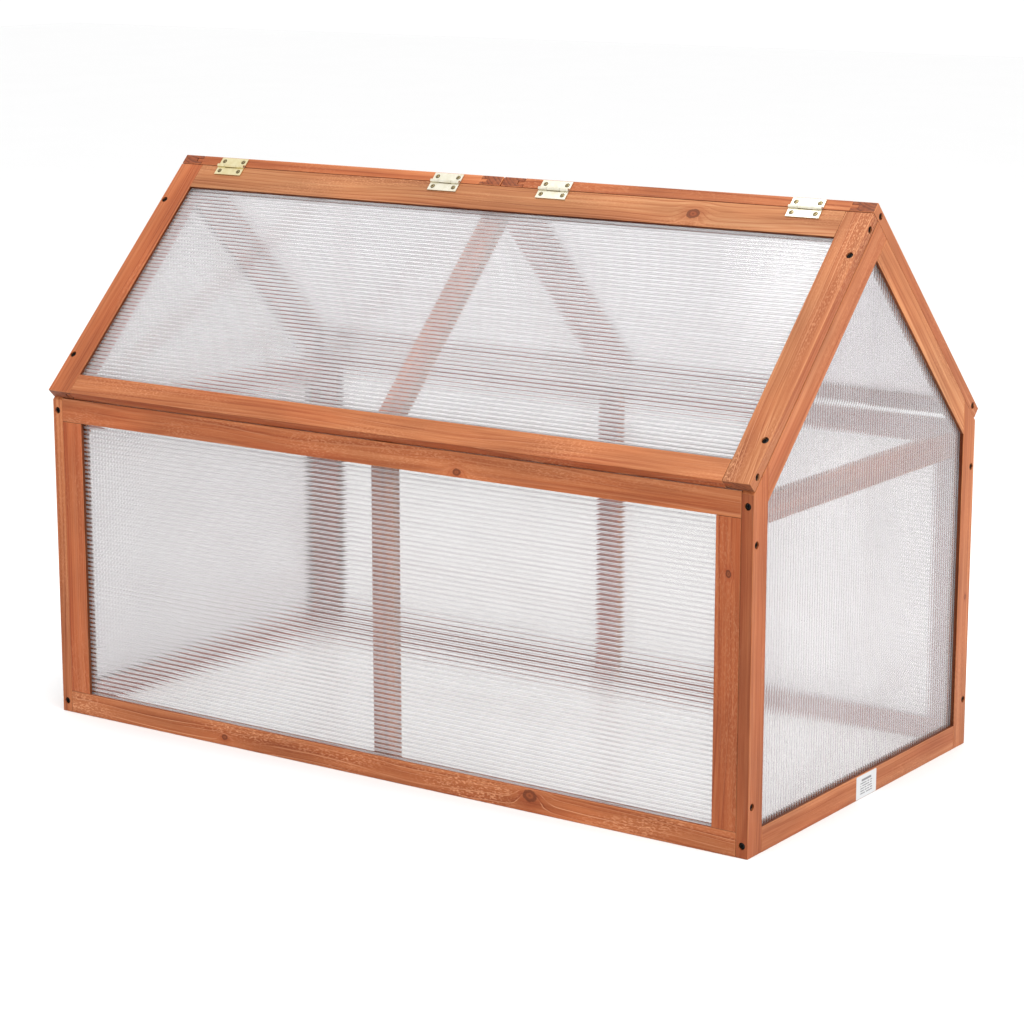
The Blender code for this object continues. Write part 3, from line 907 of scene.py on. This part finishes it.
def place_screw(name, mesh, point, outward, spin, body):
    obj = bpy.data.objects.new(name, mesh)
    turn = outward.to_track_quat("Z", "Y").to_matrix().to_4x4() @ Matrix.Rotation(spin, 4, "Z")
    obj.matrix_world = Matrix.Translation(point) @ turn
    scene.collection.objects.link(obj)
    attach(obj, body)
    return obj


def recesses(node):
    """The (centre, outward direction) of each screw hole drilled into a board, found from its round floor."""
    shape = shape_of(node)
    shape.normal_update()
    found = []
    for face in shape.faces:
        if len(face.verts) == RECESS_SIDES and RECESS_AREA[0] < face.calc_area() < RECESS_AREA[1]:
            found.append((face.calc_center_median(), face.normal.copy()))
    shape.free()
    return found


def drive_screws(kind, mesh, material_slot, holes, lift, chance):
    """A screw in every hole of the nodes with this material, each turned its own way."""
    count = 0
    for name in sorted(nodes):
        if slots[name] != material_slot:
            continue
        for point, outward in holes(name):
            count += 1
            spin = chance.uniform(0, math.pi)
            place_screw(f"{kind}_{count}", mesh, point + outward * lift, outward, spin, bodies_of[name])


def finish_screws():
    wood_screw = screw_mesh("wood_screw", WOOD_SCREW_RADIUS, WOOD_SCREW_DOME, WOOD_SCREW_LENGTH, black)
    hinge_screw = screw_mesh(
        "hinge_screw", HINGE_SCREW_RADIUS, HINGE_SCREW_DOME, HINGE_SCREW_LENGTH, screw_brass
    )
    chance = random.Random(GRAIN_SEED + 1)
    drive_screws("wood_screw", wood_screw, "wood", recesses, WOOD_SCREW_LENGTH, chance)
    drive_screws("hinge_screw", hinge_screw, "brass", leaf_holes, 0.0, chance)


def leaf_holes(node):
    """The (centre, outward direction) of each countersink in a hinge leaf."""
    slope_out = Vector((0, -math.sin(SLOPE), math.cos(SLOPE)))
    down = Vector((0, -math.cos(SLOPE), -math.sin(SLOPE)))
    low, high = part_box(node)
    middle = (low.x + high.x) / 2
    side = 1 if node.endswith("fixed_leaf") else -1
    points = [v.co for v in nodes[node].data.vertices]
    reach = max(side * p.dot(down) for p in points) * side
    bottom, _ = span(points, slope_out)
    edge = down * (reach - side * HINGE_SCREW_INSET) + slope_out * (bottom + LEAF_THICKNESS)
    return [
        (Vector((middle + along, edge.y, edge.z)), slope_out)
        for along in (-HINGE_SCREW_ALONG, HINGE_SCREW_ALONG)
    ]


# Label

def label_bars(graph, centred):
    """How much ink is at a place on the label: a heading bar over rows of short bars, none of it text."""
    side, up = graph.node("ShaderNodeSeparateXYZ", {0: centred}).outputs[1:]
    rows = graph.maths("DIVIDE", up, LABEL_ROW)
    stroke = graph.maths("LESS_THAN", graph.maths("FRACT", rows), LABEL_STROKE)
    on_row = graph.node("ShaderNodeCombineXYZ", {0: side, 1: graph.maths("FLOOR", rows)}).outputs[0]
    words = graph.noise(on_row, LABEL_WORD_CELLS, 8.0, detail=0.0)
    ink = graph.maths("MULTIPLY", stroke, graph.maths("GREATER_THAN", words, LABEL_WORD_GAP))
    ink = graph.maths("MULTIPLY", ink, graph.maths("LESS_THAN", up, LABEL_ROWS_TOP))
    for offset, share, size in zip((side, up), LABEL_PRINTED, LABEL_SIZE):
        printed = graph.maths("LESS_THAN", graph.maths("ABSOLUTE", offset), share * size)
        ink = graph.maths("MULTIPLY", ink, printed)
    heading = graph.maths("ABSOLUTE", graph.maths("SUBTRACT", up, LABEL_HEADING))
    heading = graph.maths("LESS_THAN", heading, LABEL_HEADING_HALF)
    narrow = graph.maths("LESS_THAN", graph.maths("ABSOLUTE", side), LABEL_HEADING_SHARE * LABEL_SIZE[0])
    heading = graph.maths("MULTIPLY", heading, narrow)
    return graph.maths("MULTIPLY", graph.maths("MAXIMUM", ink, heading), LABEL_INK)


def label_outline():
    """Points round the label, about its centre, with round corners."""
    width, height = LABEL_SIZE
    outline = []
    for corner, (side, rise) in enumerate(((1, 1), (-1, 1), (-1, -1), (1, -1))):
        for step in range(LABEL_CORNER_STEPS + 1):
            angle = math.pi / 2 * (corner + step / LABEL_CORNER_STEPS)
            y = side * (width / 2 - LABEL_CORNER) + LABEL_CORNER * math.cos(angle)
            z = rise * (height / 2 - LABEL_CORNER) + LABEL_CORNER * math.sin(angle)
            outline.append((y, z))
    return outline


def label_material(middle):
    material, graph, shader = new_material("label_paper")
    where = graph.node("ShaderNodeTexCoord").outputs["Object"]
    fibre = graph.noise(where, (900, 900, 900), 5.0, detail=2.0)
    paper = graph.mix(fibre, LABEL_PAPER, LABEL_PALE_PAPER)
    centred = graph.vector("SUBTRACT", where, (0, LABEL_CENTRE_Y, middle))
    graph.feed(shader.inputs["Base Color"], graph.mix(label_bars(graph, centred), paper, LABEL_INK_COLOUR))
    graph.feed(shader.inputs["Roughness"], graph.spread(fibre, 0.3, 0.7, 0.35, 0.5))
    return material


def finish_label():
    """An adhesive label with plain bars on the right end's bottom rail."""
    low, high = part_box("right_end_bottom_rail")
    middle = low.z + LABEL_SIZE[1] / 2 + LABEL_LIFT
    shape = bmesh.new()
    ring = [shape.verts.new((high.x, LABEL_CENTRE_Y + y, middle + z)) for y, z in label_outline()]
    moved = bmesh.ops.extrude_face_region(shape, geom=[shape.faces.new(ring)])["geom"]
    front = [part for part in moved if isinstance(part, bmesh.types.BMVert)]
    bmesh.ops.translate(shape, vec=(LABEL_THICKNESS, 0, 0), verts=front)
    bmesh.ops.recalc_face_normals(shape, faces=shape.faces)
    label = link_mesh("blank_label", shape, label_material(middle), bodies_of["right_end_bottom_rail"])


# Stage

def make_floor():
    shape = bmesh.new()
    bmesh.ops.create_grid(shape, x_segments=8, y_segments=8, size=FLOOR_HALF)
    floor = build_object("floor", shape)
    floor.location.z = -FLOOR_DROP
    material, graph, shader = new_material("pale_floor")
    where = graph.node("ShaderNodeTexCoord").outputs["Object"]
    cloud = graph.noise(where, (3, 3, 3), 6.0, detail=3.0)
    graph.feed(shader.inputs["Base Color"], graph.mix(cloud, (0.90, 0.90, 0.90), (0.92, 0.92, 0.92)))
    shader.inputs["Roughness"].default_value = 0.9
    shader.inputs["Specular IOR Level"].default_value = 0.1
    floor.data.materials.append(material)


def add_softbox(name, place, aim, size, watts):
    data = bpy.data.lights.new(name, "AREA")
    data.shape = "RECTANGLE"
    data.size, data.size_y = size
    data.energy = watts
    lamp = bpy.data.objects.new(name, data)
    lamp.location = place
    lamp.rotation_euler = (Vector(aim) - Vector(place)).to_track_quat("-Z", "Y").to_euler()
    scene.collection.objects.link(lamp)


def make_lights():
    world = bpy.data.worlds.new("studio")
    scene.world = world
    world.use_nodes = True
    background = world.node_tree.nodes["Background"]
    background.inputs["Color"].default_value = (1.0, 1.0, 1.0, 1.0)
    background.inputs["Strength"].default_value = SKY_STRENGTH
    add_softbox("overhead", (0.3, -0.5, 2.6), LAMP_AIM, (2.0, 2.0), OVERHEAD_WATTS)
    add_softbox("right", (3.0, -0.3, 1.3), LAMP_AIM, (1.6, 1.6), RIGHT_WATTS)


def make_camera():
    turn = Matrix.Rotation(CAMERA_AZIMUTH, 3, "Z") @ Matrix.Rotation(-CAMERA_ELEVATION, 3, "X")
    back = turn @ -Y
    data = bpy.data.cameras.new("camera")
    data.sensor_width = 36.0
    data.lens = CAMERA_LENS
    camera = bpy.data.objects.new("camera", data)
    camera.location = CAMERA_AIM + back * CAMERA_DISTANCE
    camera.rotation_mode = "QUATERNION"
    camera.rotation_quaternion = (-back).to_track_quat("-Z", "Y")
    scene.collection.objects.link(camera)
    scene.camera = camera


slots = {row["node"]: row["material_slot"] for row in frame["record"]["subparts"]}
bodies_of = {
    node: body for body, members in frame["record"]["behaviour"]["bodies"].items() for node in members
}
make_camera()
make_lights()
make_floor()
fir_group = make_fir_group()
# One brass in two copies: a paler one for the hinges that show more reflected light, and a darker, yellower
# one for the first hinge: painted reflection and painted shade
brass = metal_material("pale_brass", (0.76, 0.73, 0.62), (0.66, 0.62, 0.47), 0.36)
shaded_yellow_brass = metal_material("shaded_yellow_brass", (0.78, 0.70, 0.44), (0.68, 0.58, 0.32), 0.34)
# The hinge screws' brass, darker in a ring near the rim of the head
screw_brass = metal_material("screw_brass", (0.50, 0.41, 0.22), (0.24, 0.18, 0.09), 0.38, HINGE_SCREW_RADIUS)
steel = metal_material("pin_steel", (0.62, 0.61, 0.58), (0.45, 0.44, 0.42), 0.35)
black = metal_material("black_phosphate", (0.030, 0.028, 0.026), (0.006, 0.006, 0.006), 0.5)
finish_boards()
finish_panes()
finish_hinges()
finish_screws()
finish_label()
scene.view_settings.view_transform = "Standard"
